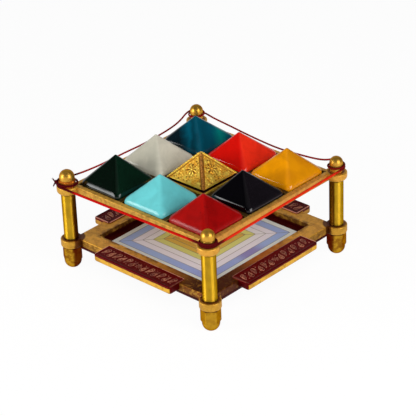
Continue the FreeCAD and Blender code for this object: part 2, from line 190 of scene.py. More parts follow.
def loft(rings, wrap=False, along=None):
    """Vertices, faces and face-corner UVs of a skin over closed rings, an array of (rows, columns, 3).

    Face (i, j) joins columns j and j + 1 of rows i and i + 1. Unless the rows wrap round, the
    first and last rings are closed by a fan to their middle. U is the share of the way round
    and V is the row's place along.
    """
    rows, columns = rings.shape[:2]
    index = np.arange(rows * columns).reshape(rows, columns)
    along = np.arange(rows) / max(1, rows - 1) if along is None else np.asarray(along)
    lower, upper = (index, np.roll(index, -1, 0)) if wrap else (index[:-1], index[1:])
    low_v, high_v = (along, np.roll(along, -1)) if wrap else (along[:-1], along[1:])
    quads = np.stack([lower, np.roll(lower, -1, 1), np.roll(upper, -1, 1), upper], -1).reshape(-1, 4)
    u, step = np.arange(columns) / columns, 1 / columns
    left, right, down, up = (np.broadcast_to(share, lower.shape)
                             for share in (u, u + step, low_v[:, None], high_v[:, None]))
    corners = ((left, down), (right, down), (right, up), (left, up))
    uv = np.stack([np.stack(corner, -1) for corner in corners], 2).reshape(-1, 2)
    points, faces = rings.reshape(-1, 3), quads.tolist()
    if not wrap:
        points = np.vstack([points, rings[0].mean(0), rings[-1].mean(0)])
        for ends, hub, place, turn in ((index[0], -2, along[0], -1), (index[-1], -1, along[-1], 1)):
            pair = [ends, np.roll(ends, -1)][::turn]
            faces += np.stack([*pair, np.full(columns, len(points) + hub)], -1).tolist()
            level = np.full(columns, place)
            corners = [np.stack([side, level], -1) for side in (*[u, u + step][::turn], u + step / 2)]
            uv = np.vstack([uv, np.stack(corners, 1).reshape(-1, 2)])
    return points, faces, uv


def rounded(outline, radii, steps=7):
    """An open outline whose inner corners become arcs of the given radii."""
    outline = np.asarray(outline, float)
    points = [outline[0]]
    for before, corner, after, radius in zip(outline, outline[1:], outline[2:], radii):
        back, on = unit(before - corner), unit(after - corner)
        half = math.acos(np.clip(back @ on, -1, 1)) / 2
        centre = corner + unit(back + on) * radius / math.sin(half)
        ends = [corner + side * radius / math.tan(half) - centre for side in (back, on)]
        first, last = (math.atan2(end[1], end[0]) for end in ends)
        swing = (last - first + math.pi) % FULL - math.pi
        angles = first + swing * np.linspace(0, 1, steps)
        points += list(centre + radius * np.stack([np.cos(angles), np.sin(angles)], -1))
    return np.array(points + [outline[-1]])


def travelled(line):
    """How far along a line each of its points lies."""
    return np.concatenate([[0], np.cumsum(np.linalg.norm(np.diff(line, axis=0), axis=1))])


def sampled(line, places):
    """The points that lie at the given distances along a line."""
    return np.stack([np.interp(places, travelled(line), column) for column in line.T], -1)


def refined(outline, longest):
    """The same outline with points added so that no run is longer than the given length."""
    outline = np.asarray(outline, float)
    knots = travelled(outline)
    places = [np.linspace(a, b, max(2, int((b - a) / longest) + 2))[:-1] for a, b in zip(knots, knots[1:])]
    return sampled(outline, np.concatenate(places + [knots[-1:]]))


def lifted(across, height):
    """Rings from their X and Y, an array of (rows, columns, 2), and each row's height."""
    return stacked(across[..., 0], across[..., 1], np.asarray(height)[:, None])


def square_columns(arc_steps, side_steps):
    """Where each column of a rounded square stands: its corner's signs and its direction from there.

    A point of the square of half width h and corner radius c is (h - c) * signs + c * direction.
    Along a side the signs run evenly from one corner to the next while the direction stays.
    """
    signs, directions = [], []
    for quarter, corner in enumerate(np.array([(1.0, 1.0), (-1.0, 1.0), (-1.0, -1.0), (1.0, -1.0)])):
        angle = math.radians(90) * (quarter + np.linspace(0, 1, arc_steps))
        turned = np.stack([np.cos(angle), np.sin(angle)], -1)
        following = np.array([-corner[1], corner[0]])
        share = np.linspace(0, 1, side_steps + 2)[1:-1, None]
        signs += [np.broadcast_to(corner, turned.shape), corner + (following - corner) * share]
        directions += [turned, np.broadcast_to(turned[-1], (side_steps, 2))]
    return np.vstack(signs), np.vstack(directions)


def square_rings(halves, corner, height, arc_steps=7, side_steps=12):
    """Rings of rounded squares, or of rectangles where each row of halves has an X and a Y."""
    signs, directions = square_columns(arc_steps, side_steps)
    halves = np.asarray(halves, float)
    corner = np.minimum(corner, halves.min(-1) * 0.98)[:, None, None]
    return lifted((halves[:, None] - corner) * signs + corner * directions, height)


def turned_rings(profile, columns, flats=None, hex_height=0, turn=0):
    """Rings about Z from (radius, height) rows. Up to the hexagon's height they are cut to it where it
    is nearer.

    The cut is soft: 1/r^p is the sum of 1/round^p and 1/hexagon^p, so the edges are rounded.
    """
    angles = around(columns)
    radius = np.broadcast_to(profile[:, :1], (len(profile), columns))
    if flats:
        hexagon = flats / 2 / np.cos(((angles - math.radians(turn)) % (math.pi / 3)) - math.pi / 6)
        power = 140
        nearer, farther = np.minimum(radius, hexagon), np.maximum(radius, hexagon)
        cut = nearer * (1 + (nearer / farther) ** power) ** (-1 / power)
        radius = np.where(profile[:, 1:] <= hex_height + 0.001, cut, radius)
    return polar(radius, angles, profile[:, 1:])


def swept_rings(path, section):
    """Rings of a section carried along a path: point + side * x + up * y, with side = path x vertical."""
    heading = unit(np.gradient(path, axis=0))
    side = unit(np.cross(heading, np.broadcast_to((0, 0, 1), path.shape)))
    up = np.cross(side, heading)
    return path[:, None] + side[:, None] * section[..., :1] + up[:, None] * section[..., 1:2]


def make_piece(name, parts, finish, replaces=(), levels=None, sharp=None):
    """A smooth shaded object from parts of (vertices in millimetres, faces, UVs)."""
    points, faces, start = [], [], 0
    for vertices, polygons, _ in parts:
        points.append(vertices)
        faces += [[corner + start for corner in polygon] for polygon in polygons]
        start += len(vertices)
    mesh = bpy.data.meshes.new(name)
    mesh.from_pydata((np.vstack(points) * MM).tolist(), [], faces)
    layer = mesh.uv_layers.new(name="UVMap")
    layer.data.foreach_set("uv", np.vstack([part[2] for part in parts]).astype(np.float32).ravel())
    if levels is not None:
        mesh.attributes.new("relief", "FLOAT", "POINT").data.foreach_set("value", levels.astype(np.float32))
    mesh.polygons.foreach_set("use_smooth", [True] * len(faces))
    if sharp:
        mesh.set_sharp_from_angle(angle=math.radians(sharp))
    mesh.update()
    mesh.materials.append(finish.material)
    piece = bpy.data.objects.new(name, mesh)
    bpy.context.scene.collection.objects.link(piece)
    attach(piece, "root")
    if replaces:
        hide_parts(*replaces)
    return piece


def dress(node, finish):
    """Gives a solid that keeps its shape a better material."""
    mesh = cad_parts[node].data
    mesh.materials.clear()
    mesh.materials.append(finish.material)


# Materials


class Value:
    """A number that a node gives out. Arithmetic on it adds Math nodes."""

    def __init__(self, nodes, socket):
        self.nodes, self.socket = nodes, socket

    def math(self, operation, first, second=0.0):
        return self.nodes.add("Math", {0: first, 1: second}, operation=operation)

    def __abs__(self):
        return self.math("ABSOLUTE", self)

    def __add__(self, other):
        return self.math("ADD", self, other)

    def __sub__(self, other):
        return self.math("SUBTRACT", self, other)

    def __rsub__(self, other):
        return self.math("SUBTRACT", other, self)

    def __mul__(self, other):
        return self.math("MULTIPLY", self, other)

    def most(self, other):
        return self.math("MAXIMUM", self, other)

    def least(self, other):
        return self.math("MINIMUM", self, other)

    def step(self, low, high, first, last):
        """A smooth step from first to last as the value goes from low to high."""
        return self.nodes.add("MapRange", {0: self, 1: low, 2: high, 3: first, 4: last},
                              interpolation_type="SMOOTHSTEP")

    def rise(self, low, high, level=1.0):
        """A smooth step from 0 up to the level."""
        return self.step(low, high, 0.0, level)

    def fall(self, low, high, level=1.0):
        """A smooth step from the level down to 0."""
        return self.step(low, high, level, 0.0)


class Nodes:
    """A node tree. Its methods add nodes and return what they give out."""

    def __init__(self, tree):
        self.tree = tree

    def plug(self, node, key, value):
        entry, value = node.inputs[key], getattr(value, "socket", value)
        if isinstance(value, bpy.types.NodeSocket):
            self.tree.links.new(value, entry)
        else:
            entry.default_value = (*value, 1) if entry.type == "RGBA" else value

    def add(self, kind, inputs, output=0, **settings):
        node = self.tree.nodes.new("ShaderNode" + kind)
        for key, value in settings.items():
            setattr(node, key, value)
        for key, value in inputs.items():
            self.plug(node, key, value)
        return Value(self, node.outputs[output])

    def mix(self, factor, first, second, blend="MIX"):
        return self.add("Mix", {0: factor, 6: first, 7: second}, 2, data_type="RGBA", blend_type=blend)

    def ramp(self, value, stops, interpolation="LINEAR"):
        output = self.add("ValToRGB", {0: value})
        band = output.socket.node.color_ramp
        band.interpolation = interpolation
        while len(band.elements) < len(stops):
            band.elements.new(1)
        for element, (place, colour) in zip(band.elements, stops):
            element.position = place
            element.color = (*colour, 1)
        return output

    def split(self, vector):
        return [Value(self, axis) for axis in self.add("SeparateXYZ", {0: vector}).socket.node.outputs]


class Finish(Nodes):
    """A material on the Principled shader, with patterns in the stand's own coordinates."""

    def __init__(self, name, **inputs):
        self.material = bpy.data.materials.new(name)
        self.material.use_nodes = True
        super().__init__(self.material.node_tree)
        self.shader = self.tree.nodes["Principled BSDF"]
        self.place = self.add("TexCoord", {}, "Object")
        self.axes = self.split(self.add("VectorMath", {0: self.place, "Scale": 1 / MM}, operation="SCALE"))
        for key, value in inputs.items():
            self.shade(key.replace("_", " "), value)

    def shade(self, key, value):
        self.plug(self.shader, key, value)

    def base(self, factor, first, second):
        self.shade("Base Color", self.mix(factor, first, second))

    def over(self, mask, colour):
        """Lays a colour over what the surface has."""
        self.base(mask, self.shader.inputs["Base Color"].links[0].from_socket, colour)

    def noise(self, scale, detail=3, roughness=0.55, distortion=0, vector=None):
        """Clouds of 0 to 1, with scale features to the metre."""
        return self.add("TexNoise", {"Vector": vector or self.place, "Scale": scale, "Detail": detail,
                                     "Roughness": roughness, "Distortion": distortion})

    def uneven(self, height, depth, strength):
        """Dents the surface by a height of 0 to 1, to a depth in millimetres."""
        dents = self.add("Bump", {"Height": height, "Distance": depth * MM, "Strength": strength})
        self.shade("Normal", dents)

    def normal(self):
        return self.split(self.add("NewGeometry", {}, "Normal"))

    def square_distance(self):
        """The greater of |x| and |y|: the half width of the square through a point."""
        x, y, _ = self.axes
        return abs(x).most(abs(y))

    def post_distance(self):
        """The distance from the nearest post's axis."""
        dx, dy = (abs(axis) - POST_OFFSET for axis in self.axes[:2])
        return dx.math("SQRT", dx * dx + dy * dy)

    def inward_reach(self, unevenness, far_less=1.9):
        """How far a point lies from its post's axis towards the stand's middle, along X plus along Y.

        It counts for less at the right and back posts, by far_less.
        """
        x, y, _ = self.axes
        reach = 2 * POST_OFFSET - (abs(x) + abs(y) + y.rise(-10, 10, far_less))
        return reach + self.noise(240) * unevenness

    def front_reach(self):
        """How far a point lies from the front post along its side, where the -Y side counts for more."""
        x, y, _ = self.axes
        return ((POST_OFFSET - x) * 1.5).most(y + POST_OFFSET) - self.noise(60, 4) * 16


def polished_brass(name, metal, roughness, lathe=1.0, metallic=1.0):
    """Turned and polished brass: fine rings round the axis, tarnish clouds and small spots."""
    brass = Finish(name, Metallic=metallic, Anisotropic=lathe, Anisotropic_Rotation=0.25,
                   Specular_Tint=tone(140, 84, 26))
    brass.base(brass.noise(160, 4).rise(0.35, 0.7), metal.polished, shade_of(metal.polished, 0.84))
    brass.over(brass.noise(900, 2).rise(0.68, 0.76) * 0.4, metal.patina)
    brass.shade("Roughness", brass.noise(420).step(0.3, 0.8, roughness - 0.03, roughness + 0.08))
    rings = brass.noise(1, 2, vector=brass.add("Mapping", {"Vector": brass.place, "Scale": (180, 180, 9000)}))
    brass.uneven(rings * 0.35 + brass.noise(700, 2), 0.03, 0.5)
    brass.shade("Tangent", brass.add("Tangent", {}, direction_type="UV_MAP", uv_map="UVMap"))
    return brass


def cast_brass(name, metal, walls):
    """Sand-cast brass with an antique finish: golden where it is rubbed, brown clouds and a fine grain.

    The upright walls are painted browner by the given share, which is painted shade. The normal's Z comes
    with it.
    """
    brass = Finish(name, Metallic=0.62, Specular_IOR_Level=0.1)
    upward = brass.normal()[2]
    upright = abs(upward).fall(0.25, 0.6)
    cloud, grain = brass.noise(70, 4, 0.6), brass.noise(1100, 3, 0.6)
    brass.base(cloud.rise(0.32, 0.68), shade_of(metal.cast, 1.12), shade_of(metal.cast, 0.82))
    brass.over(brass.noise(190, 4, 0.65).rise(0.5, 0.72, 0.55), tone(168, 116, 44))
    # Painted shade: the upright walls are darker, in places more so
    brass.over(upright * walls, tone(156, 106, 38))
    brass.over(upright * brass.noise(150, 4).rise(0.46, 0.64, walls), tone(104, 70, 18))
    brass.over(upright * brass.noise(430, 4, 0.65).rise(0.5, 0.62, walls), tone(96, 62, 16))
    brass.over(grain.rise(0.54, 0.68) * cloud.step(0.45, 0.68, 0.05, 0.4), shade_of(metal.patina, 2.0))
    brass.shade("Roughness", grain.step(0.3, 0.7, 0.36, 0.5))
    pits = brass.add("TexVoronoi", {"Vector": brass.place, "Scale": 420}).rise(0.04, 0.16)
    brass.uneven(grain * 0.6 + pits * 0.3, 0.08, 0.6)
    return brass, upward


def frame_finish(metal):
    """The base frame: top faces lightened as painted light, maroon paint low on the opening's walls and on
    the tabs' ends and lips, patina along the opening and round the posts, a stain and painted shade over
    the corner at the front post and on the ears' inward sides, and painted shade low on the tabs' bars."""
    brass, upward = cast_brass("base_frame_brass", metal, 0.6)
    x, y, z = brass.axes
    ripple, flat_top = brass.noise(450) * 1.6, upward.rise(0.6, 0.8)
    distance, from_post, reach = brass.square_distance(), brass.post_distance(), brass.front_reach()
    # Painted light: the top faces are lighter
    brass.over(flat_top * 0.6, tone(236, 176, 70))
    brass.over(flat_top * brass.noise(210, 5, 0.75).rise(0.42, 0.64, 0.5), tone(152, 92, 34))
    by_opening = (distance - ripple).fall(OPENING - 0.9, OPENING + 1.6, 0.8)
    brass.over(by_opening * brass.noise(320).rise(0.4, 0.58), shade_of(metal.patina, 1.4))

    # The corner at the front post, darkened by a stain and by painted shade, browner along the beam under the
    # right tab
    off_post = from_post.rise(5.2, 6.4)
    brown = reach.fall(30, 58, 0.65) * off_post
    brass.over(brown, tone(140, 70, 16))
    brass.over(brown * x.rise(OPENING, OPENING + 0.4, 0.75), tone(204, 104, 26))
    stain_and_shade = reach.fall(12, 36, 0.93) * off_post
    left_wall = distance.rise(FRAME_HALF - 0.3, FRAME_HALF - 0.1) * x.fall(FRAME_HALF - 0.3, FRAME_HALF - 0.1)
    brass.over(stain_and_shade * (1.0 - left_wall * 0.35), tone(62, 18, 8))
    speckled = (left_wall * 0.8).most((y * -1.0).rise(OPENING, OPENING + 0.4, 0.7)) + 0.15
    brass.over(brass.noise(620, 4, 0.65).rise(0.5, 0.6, 0.9) * stain_and_shade * speckled, tone(178, 130, 46))

    # Paint low in the opening, and the ears
    low = (z + ripple).fall(BASE_LOW + 2.2, BASE_LOW + 3.0)
    brass.over(distance.fall(OPENING + 0.05, OPENING + 0.2) * low, shade_of(metal.enamel, 0.6))
    brass.over(from_post.fall(5.2, 6.4, 0.6), tone(214, 162, 56))
    brass.over((from_post - ripple * 0.5).fall(3.6, 4.9, 0.85), tone(84, 22, 10))
    # Painted shade, with some dirt: the ears are darker on their inward sides
    brass.over(brass.inward_reach(3).rise(2.6, 4.4, 0.9) * from_post.fall(6.0, 6.9), tone(70, 10, 4))

    # The tabs: a bright bar along each outer edge, and painted ends and lips
    across, towards_front = abs(x).least(abs(y)), x - y
    bar = (distance.rise(TAB_OUTER - 1.3, TAB_OUTER - 1.1) * across.fall(TAB_END - 0.7, TAB_END - 0.4)
           * z.fall(TAB_HIGH - 0.8, TAB_HIGH - 0.6))
    brass.over(bar, tone(226, 172, 58))
    brass.over(bar * brass.noise(380, 4, 0.65).rise(0.44, 0.6, 0.6), tone(170, 116, 34))
    # Painted shade: each bar darkens towards its bottom
    brass.over(bar * (z + ripple * 0.4).fall(TAB_LOW + 0.3, TAB_LOW + 1.5, 0.7), tone(150, 104, 34))
    top_of_bar = (z + ripple * 0.3).rise(TAB_HIGH - 1.0, TAB_HIGH - 0.7)
    ends = across.rise(TAB_END - 0.5, TAB_END - 0.25) * towards_front.rise(40, 45)
    beyond = distance.rise(FRAME_HALF + 0.1, FRAME_HALF + 0.2).most(z.rise(BASE_HIGH + 0.1, BASE_HIGH + 0.2))
    painted = ends.most(flat_top).most(top_of_bar) * beyond * across.fall(TAB_END + 0.3, TAB_END + 0.4)
    brass.over(painted, metal.enamel)
    inner_lip = x.step(30, 36, 1.0, 0.35) * distance.fall(TAB_INNER + 0.6, TAB_INNER + 0.75)
    end_lip = towards_front.step(40, 60, 1.0, 0.2) * across.rise(TAB_END - 0.75, TAB_END - 0.6)
    worn = brass.noise(520).rise(0.28, 0.46, 0.95)
    brass.over(inner_lip.most(end_lip) * painted * flat_top * worn, tone(252, 178, 150))
    return brass


def plate_finish(metal):
    """The top plate: dirt in the pockets, top faces darker round the pyramids, a painted reflection of the
    thread along the +X edge, bright ears.
    """
    brass, upward = cast_brass("top_plate_brass", metal, 0.4)
    x, _, z = brass.axes
    ripple, facing_up = brass.noise(700) * 1.3, upward.rise(0.3, 0.9)
    distance, from_post = brass.square_distance(), brass.post_distance()
    brass.over(0.3, tone(244, 192, 92))
    brass.over(brass.noise(420, 5, 0.75).rise(0.48, 0.62, 0.5), tone(122, 72, 20))
    # Painted reflection of the red thread: orange along the +X edge
    brass.over(x.rise(40.8, 41.6, 0.4), tone(230, 146, 64))
    brass.over(from_post.fall(4.6, 5.6, 0.75), tone(216, 164, 54))
    # The top faces inside the border are darker round the pyramids
    brass.over((distance + ripple).fall(40.7, 41.4) * facing_up * 0.92, tone(38, 26, 6))
    in_pocket = z.fall(TOP_HIGH - 0.6, TOP_HIGH - 0.1) * z.rise(TOP_HIGH - 1.2, TOP_HIGH - 1.0)
    brass.over(in_pocket * distance.fall(40.3, 40.5), shade_of(metal.patina, 0.35))
    brass.over((from_post - ripple * 0.3).fall(3.4, 4.2, 0.85) * facing_up, tone(120, 50, 10))
    return brass


def stone_finish(name, colour, x_face_light_and_shade, kind):
    """A polished stone: its colour, its clouds or bands, a turn of colour from its -Y to its +X
    face that is painted light and shade, and a hard gloss."""
    gloss = {"Roughness": 0.24, "Specular_IOR_Level": 0.3} if kind == "speckled" else {"Roughness": 0.13}
    stone = Finish("stone_" + name, **gloss)
    x, y, z = stone.axes
    cloud = stone.noise(130, 4, 0.6, 0.6)
    if kind == "banded":
        # The bands are the stone's own; the ramp from deep at the -X-Y side to glow at the +X+Y side is
        # painted shade and painted light
        glow, deep = tone(0, 122, 118), tone(4, 24, 32)
        levels = {0.30: 0.8, 0.36: 1.5, 0.42: 0.7, 0.50: 1.25, 0.57: 0.95, 0.70: 1.25}
        bands = [(place, shade_of(colour, level)) for place, level in levels.items()]
        across = x + y + stone.noise(260, 2) * 5 + 20.5
        stops = [(0.0, deep), (0.22, deep), *bands, (0.82, glow), (0.95, colour)]
        stone.shade("Base Color", stone.ramp(across * (1 / 46), stops))
    else:
        towards_x, towards_y, _ = stone.normal()
        amount = {"cloudy": 0.26, "speckled": 0.5, "dark": 0.3, "marbled": 0.2}[kind]
        # Painted light and shade: the +X face is lighter or darker by how the light falls on it
        stone.base((towards_x + towards_y).rise(-0.35, 0.35), colour, x_face_light_and_shade)
        stone.over(cloud.rise(0.32, 0.7, amount), shade_of(colour, 0.45))
    if kind == "marbled":
        stone.over(stone.noise(70, 3, 0.5, 0.4).rise(0.4, 0.62, 0.5), tone(186, 110, 8))
        # Painted shade: the tip turns darker brown, broken by the clouds
        tip = z.rise(TOP_HIGH + 6.5, TOP_HIGH + 12, 0.6)
        stone.over(tip * cloud.step(0.4, 0.6, 0.4, 1.0), tone(150, 88, 14))
    if kind == "speckled":
        stone.over(stone.noise(900).rise(0.6, 0.75, 0.6), shade_of(colour, 0.35))
    stone.uneven(stone.noise(260, 2), 0.04, 0.25)
    return stone


def build_stone(name, settings):
    """A pyramid with a lip, a rounded shoulder and slopes: rounded squares whose half width and height
    follow the profile, with a hand-ground waviness and a tip that leans off its middle."""
    lo, hi = extent("pyramid_" + name)
    half, height = float(hi[0] - lo[0]) / 2, float(hi[2] - lo[2])
    lip, tip = 2.0, 0.5
    cell, lean, kind, x_face_light_and_shade = STONES[name]
    profile = rounded([(half * 0.6, 0), (half, 0), (half, lip), (tip, height - 0.05), (0.02, height)],
                      [0.3, settings.shoulder / MM, 0.8])
    profile = refined(profile, 0.8)
    rings = square_rings(profile[:, :1], 0.9 + 2.0 * profile[:, 0] / half, profile[:, 1], 13)
    rng = np.random.default_rng(40 + 7 * cell[0] + 3 * cell[1])
    phase = rng.uniform(0, FULL, 6)
    wave = (np.sin(rings[..., 0] * 0.45 + phase[0]) + np.sin(rings[..., 1] * 0.5 + phase[1])
            + np.sin(rings[..., 2] * 0.9 + rings[..., 0] * 0.3 + phase[2]))
    rings = rings * (1 - 0.0011 * (wave[..., None] + 3))
    rings = spun(rings, rng.uniform(-0.35, 0.35))
    up_slope = np.clip((rings[..., 2:] - lip) / (height - lip), 0, 1)
    middle = (lo + hi) / 2
    part = shifted(loft(rings + up_slope * np.array(lean)), (middle[0], middle[1], lo[2]))
    finish = stone_finish(name, getattr(settings, name), tone(*x_face_light_and_shade), kind)
    make_piece("stone_" + name, [part], finish, ["pyramid_" + name])


# Thread


def thread_route():
    """The thread's points in metres: the knot, a winding and a free stretch at each post in turn, the knot.

    A winding's points stand on a circle round its post, sixteen to the turn, and their radius is
    divided by cos(pi / 16) because the smooth line runs inside them.
    """
    per_turn, pitch, off_surface, near_post = 16, 1.02, 0.51, 5.4
    small, wide = (nut[0] / math.sqrt(3) + off_surface for nut in (SMALL_NUT, LEFT_NUT))
    neck = SMALL_NUT[2] / 2 + off_surface
    low_turn, high_turn = TOP_HIGH + 0.55, TOP_HIGH + HEXAGON + 0.6
    windings = {
        "left": (225, 1.125, low_turn + 1.125 * pitch, low_turn, wide, wide),
        "front": (270, 1.25, low_turn + 1.25 * pitch, low_turn, small, small),
        "right": (0, 1.25, high_turn - 1.25 * pitch, high_turn, small, neck),
        "back": (90, 1.25, high_turn - 1.25 * pitch, high_turn, small, neck),
    }
    bends = []
    for post, (start, count, z_first, z_last, r_first, r_last) in windings.items():
        share = np.linspace(0, 1, int(count * per_turn) + 1)
        radius = (r_first + (r_last - r_first) * share ** 5) / math.cos(math.pi / per_turn)
        height = z_first + (z_last - z_first) * share
        bends.append(post_axis(post) + polar(radius, math.radians(start) + FULL * count * share, height))
    entry_height = low_turn + 1.125 * pitch + np.array([0.18, 0.14, 0.06])
    bends.append(post_axis("left") + polar(wide, np.radians([180, 196, 211]), entry_height))

    # How deep each far side hangs, and the shares of its length and of that depth
    slack = {
        "back_right": (5.0, [(0.05, 0.01), (0.11, 0.46), (0.18, 0.70), (0.29, 0.86), (0.43, 1.01),
                             (0.56, 0.88), (0.68, 0.67), (0.80, 0.41), (0.91, 0.22), (0.965, 0.01)]),
        "back_left": (4.7, [(0.035, 0.03), (0.09, 0.58), (0.16, 0.84), (0.27, 0.98), (0.40, 1.01),
                            (0.52, 0.89), (0.66, 0.86), (0.76, 0.77), (0.86, 0.58), (0.93, 0.34),
                            (0.97, 0.04)]),
    }
    route = [bends[0]]
    for side, before, after in zip(SIDES, bends, bends[1:]):
        run = after[0] - before[-1]
        inset = near_post / np.linalg.norm(run)
        sag, places = slack.get(side, (0.0, [(inset, 0.0), (1 - inset, 0.0)]))
        route += [np.array([before[-1] + run * share - (0, 0, drop * sag) for share, drop in places]), after]
    return np.vstack(route) * MM


def smooth_line(route):
    """The points of the NURBS line whose control points are the route."""
    curve = bpy.data.curves.new("thread_route", "CURVE")
    curve.dimensions = "3D"
    curve.resolution_u = 12
    spline = curve.splines.new("NURBS")
    spline.points.add(len(route) - 1)
    spline.points.foreach_set("co", np.hstack([route, np.ones((len(route), 1))]).ravel())
    spline.order_u = 3
    spline.use_endpoint_u = True
    line = bpy.data.objects.new("thread_route", curve)
    bpy.context.scene.collection.objects.link(line)
    bpy.context.view_layer.update()
    mesh = bpy.data.meshes.new_from_object(line.evaluated_get(bpy.context.evaluated_depsgraph_get()))
    points = np.zeros(len(mesh.vertices) * 3, np.float32)
    mesh.vertices.foreach_get("co", points)
    bpy.data.objects.remove(line)
    bpy.data.curves.remove(curve)
    bpy.data.meshes.remove(mesh)
    return points.reshape(-1, 3).astype(float)


def strand_section(radius, distance, lay, strands, columns):
    """Sections of n twisted strands: r = radius * (0.84 + 0.16 |cos(n (angle - turn) / 2)|^0.7), where
    the turn grows with the distance."""
    angle = around(columns)
    lobes = np.abs(np.cos(strands * (angle - FULL * distance[:, None] / lay) / 2))
    return polar(np.reshape(radius, (-1, 1)) * (0.84 + 0.16 * lobes ** 0.7), angle)


def twisted(path, distance, radius, lay, strands, columns):
    """A skin over twisted strands along a path, whose V is the distance in metres."""
    section = strand_section(radius, distance, lay, strands, columns)
    return loft(swept_rings(path, section), along=distance * MM)


def thread_finish(settings):
    """Dyed cotton: fibres that follow the twist, painted light that turns it orange at the +X side, painted
    shade that dulls it at the back left, and nearly black where it is wound."""
    colour = settings.colour
    cotton = Finish("red_thread", Roughness=0.8, Specular_IOR_Level=0.05)
    x, y, _ = cotton.axes
    u, v, _ = cotton.split(cotton.add("UVMap", {}, uv_map="UVMap"))
    twist = u * 3.0 + v * (3 / settings.lay)
    fibre = cotton.noise(1.6, vector=cotton.add("CombineXYZ", {0: twist * 4.0, 1: v * 900.0}))
    cotton.base(fibre.rise(0.3, 0.75), shade_of(colour, 0.62), shade_of(colour, 1.2))
    cotton.over(cotton.noise(220, 2).rise(0.4, 0.7), shade_of(colour, 0.8))
    # Painted light: orange towards the +X side
    cotton.over(x.rise(36, 42, 0.5), tone(236, 58, 22))
    # Painted shade: duller towards the back left
    cotton.over((y * 2.0 - x).rise(30, 90, 0.5), tone(84, 2, 8))
    from_post = cotton.post_distance() + y.rise(-10, 10, 2.0) - x.fall(-42, -24, 5.0)
    cotton.over(from_post.fall(5.2, 10.0, 0.93) * (y - x).step(30, 60, 1.0, 0.35), tone(50, 0, 8))
    cotton.uneven(fibre, 0.06, 0.7)
    return cotton


def build_thread(settings):
    """The thread: twisted strands along its smooth line, thicker on the two near sides."""
    line = smooth_line(thread_route()) / MM
    length = travelled(line)[-1]
    distance = np.linspace(0, length, int(length / 0.22) + 1)
    line = sampled(line, distance)
    near = 1 / (1 + np.exp(-(line[:, 0] - line[:, 1]) / 8))
    radius = settings.diameter / MM / 2 * (0.96 + 0.4 * near)
    part = twisted(line, distance, radius, settings.lay / MM, settings.strands, 21)
    finish = thread_finish(settings)
    thread = make_piece("thread", [part], finish, ["thread_winding_" + post for post in POSTS]
                        + ["thread_stretch_" + side for side in SIDES])
    knot = build_knot(settings, line[0], finish)


def build_knot(settings, place, finish):
    """The knot: a trefoil of the same strands, and two short tails that fray into fibres."""
    radius, lay, strands = settings.diameter / MM / 2 * 0.9, settings.lay / MM, settings.strands
    out = unit((place - post_axis("left")) * (1, 1, 0))
    up = np.array([0, 0, 1.0])
    side = np.cross(up, out)
    centre = place + out * 0.45
    t = around(90)
    loops = stacked(np.sin(t) + 2 * np.sin(2 * t), np.cos(t) - 2 * np.cos(2 * t), -np.sin(3 * t)) * 0.24
    path = centre + loops[:, :1] * side + loops[:, 1:2] * up + loops[:, 2:] * out * 1.6
    heading = unit(np.roll(path, -1, 0) - np.roll(path, 1, 0))
    away = path - centre
    normal = unit(away - (away * heading).sum(1, keepdims=True) * heading)
    other = np.cross(heading, normal)
    distance = np.linspace(0, 1, 90) * 18
    section = strand_section(radius, distance, 6.0, strands, 15)
    rings = path[:, None] + normal[:, None] * section[..., :1] + other[:, None] * section[..., 1:2]
    parts = [loft(rings, wrap=True, along=distance * MM)]
    rng = np.random.default_rng(11)
    s, w = np.linspace(0, 1, 24)[:, None], np.linspace(0, 1, 8)[:, None]
    for lift, bend in ((1.0, 0.9), (-1.0, -0.5)):
        tail = centre + out * (1.1 * s) + up * (lift * (0.9 * s + 1.2 * s ** 2)) + side * (bend * s ** 2)
        parts.append(twisted(tail, s[:, 0] * 2.6, radius * (1.0 - 0.25 * s[:, 0]), lay, strands, 15))
        for _ in range(9):
            spread = rng.normal(0, 0.4, 3)
            start = tail[-2] + rng.normal(0, 0.14, 3)
            fibre = start + out * (0.3 * w) + spread * w ** 1.6 * 0.7 + up * lift * 0.5 * w
            parts.append(twisted(fibre, w[:, 0], 0.11 * (1.05 - w[:, 0]), 3.0, 2, 6))
    return make_piece("thread_knot_tails", parts, finish, ["thread_knot"])


# Posts and nuts


def build_posts(metal):
    """Tubes: a wall of rounded ends, carried round each post's axis, with painted shade and some dirt on
    their inward sides, and dirt that has settled at both ends."""
    brass = polished_brass("tube_brass", metal, 0.38)
    z = brass.axes[2]
    # Painted shade, with some dirt, on the inward sides
    brass.over(brass.inward_reach(1, -0.9).rise(2.0, 3.8, 0.85), tone(84, 36, 8))
    to_end = (z - BASE_HIGH).least(TUBE_HIGH - z) - brass.noise(500, 2) * 0.7
    brass.over(to_end.fall(-0.1, 0.5, 0.9), metal.patina)
    lo, hi = extent("post_tube_left")
    radius = float(hi[0] - lo[0]) / 2
    bore, low, high = radius - 1.0, lo[2], hi[2]
    wall = [(bore, low + 2), (bore, low), (radius, low), (radius, high), (bore, high), (bore, low + 2)]
    profile = refined(rounded(wall, [0.12, 0.25, 0.25, 0.12], 5)[:-1], 2.0)
    part = loft(turned_rings(profile, 64), wrap=True, along=profile[:, 1] * MM)
    for post in POSTS:
        make_piece("tube_" + post, [shifted(part, post_axis(post))], brass, ["post_tube_" + post],
                   sharp=50)


def steel_finish():
    """The studs: grey steel with the grooves of a screw thread."""
    steel = Finish("steel_stud", Metallic=1.0)
    steel.base(steel.noise(300), tone(170, 170, 168), tone(120, 118, 112))
    steel.shade("Roughness", steel.noise(500, 2).step(0.3, 0.7, 0.3, 0.5))
    steel.uneven(steel.add("TexWave", {"Vector": steel.place, "Scale": 230.0}, bands_direction="Z"), 0.2, 0.8)
    return steel


